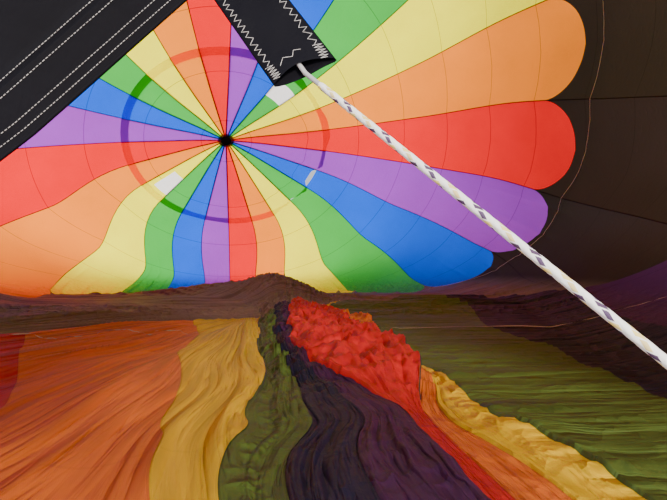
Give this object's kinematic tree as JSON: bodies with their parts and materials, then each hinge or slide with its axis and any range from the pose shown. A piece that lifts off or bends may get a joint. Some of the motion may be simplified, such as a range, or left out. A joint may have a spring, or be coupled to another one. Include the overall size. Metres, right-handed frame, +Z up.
{
  "type": "hot air balloon envelope",
  "caption": "Hot air balloon envelope of rainbow gores lying on its side part-filled, with parachute valve, black belt, mouth scoop, strap, rope and flying wires.",
  "frame": {"origin": "on the ground at the centre of the mouth's lower lip", "axes": "+Y from the mouth to the crown along the ground, +X to the right seen from the mouth, +Z up"},
  "size_m": [13.2636, 18.2547, 10.3453],
  "materials": {
    "nylon_violet": "thin coated ripstop cloth, slightly see-through",
    "nylon_blue": "thin coated ripstop cloth, slightly see-through",
    "nylon_green": "thin coated ripstop cloth, slightly see-through",
    "nylon_yellow": "thin coated ripstop cloth, slightly see-through",
    "nylon_orange": "thin coated ripstop cloth, slightly see-through",
    "nylon_red": "thin coated ripstop cloth, slightly see-through",
    "nylon_rainbow": "thin coated ripstop cloth in wedges of the gores' colours",
    "black_patch": "matte black cloth",
    "load_tape": "woven polyester tape",
    "flame_resistant_cloth": "matte black woven cloth with white stitching",
    "rope": "braided white rope with coloured flecks",
    "wire_steel": "stranded stainless wire",
    "karabiner_steel": "satin steel"
  },
  "bodies": {
    "envelope": {"gore_01": "nylon_violet", "gore_02": "nylon_blue", "gore_03": "nylon_green", "gore_04": "nylon_yellow", "gore_05": "nylon_orange", "gore_06": "nylon_red", "gore_07": "nylon_violet", "gore_08": "nylon_blue", "gore_09": "nylon_green", "gore_10": "nylon_yellow", "gore_11": "nylon_orange", "gore_12": "nylon_red", "gore_13": "nylon_violet", "gore_14": "nylon_blue", "gore_15": "nylon_green", "gore_16": "nylon_yellow", "gore_17": "nylon_orange", "gore_18": "nylon_red", "gore_19": "nylon_violet", "gore_20": "nylon_blue", "gore_21": "nylon_green", "gore_22": "nylon_yellow", "gore_23": "nylon_orange", "gore_24": "nylon_red", "crown_ring_and_tapes": "load_tape", "mouth_hem_band": "flame_resistant_cloth", "scoop_panel": "flame_resistant_cloth", "scoop_strap": "flame_resistant_cloth", "scoop_rope": "rope", "rope_clip": "karabiner_steel", "flying_wires_lower_right": "wire_steel", "karabiner_lower_right": "karabiner_steel", "flying_wires_lower_left": "wire_steel", "karabiner_lower_left": "karabiner_steel", "flying_wires_upper_left": "wire_steel", "karabiner_upper_left": "karabiner_steel", "flying_wires_upper_right": "wire_steel", "karabiner_upper_right": "karabiner_steel"},
    "parachute": {"parachute_panel": "nylon_rainbow", "parachute_centre_patch": "black_patch"},
    "gate_lower_right": {"karabiner_gate_lower_right": "karabiner_steel"},
    "gate_lower_left": {"karabiner_gate_lower_left": "karabiner_steel"},
    "gate_upper_left": {"karabiner_gate_upper_left": "karabiner_steel"},
    "gate_upper_right": {"karabiner_gate_upper_right": "karabiner_steel"}
  },
  "joints": [
    {"name": "parachute_slide", "type": "slide", "parent": "envelope", "child": "parachute", "axis": [0, -0.6606, -0.7507], "range_m": [0, 1]},
    {"name": "karabiner_gate_lower_right_hinge", "type": "hinge", "parent": "envelope", "child": "gate_lower_right", "pos_m": [0.792, -2.886, 0.005], "axis": [0, 0, 1], "range_deg": [0, 25]},
    {"name": "karabiner_gate_lower_left_hinge", "type": "hinge", "parent": "envelope", "child": "gate_lower_left", "pos_m": [-0.728, -2.886, 0.005], "axis": [0, 0, 1], "range_deg": [0, 25]},
    {"name": "karabiner_gate_upper_left_hinge", "type": "hinge", "parent": "envelope", "child": "gate_upper_left", "pos_m": [-1.468, -2.886, 0.005], "axis": [0, 0, 1], "range_deg": [0, 25]},
    {"name": "karabiner_gate_upper_right_hinge", "type": "hinge", "parent": "envelope", "child": "gate_upper_right", "pos_m": [1.532, -2.886, 0.005], "axis": [0, 0, 1], "range_deg": [0, 25]}
  ]
}
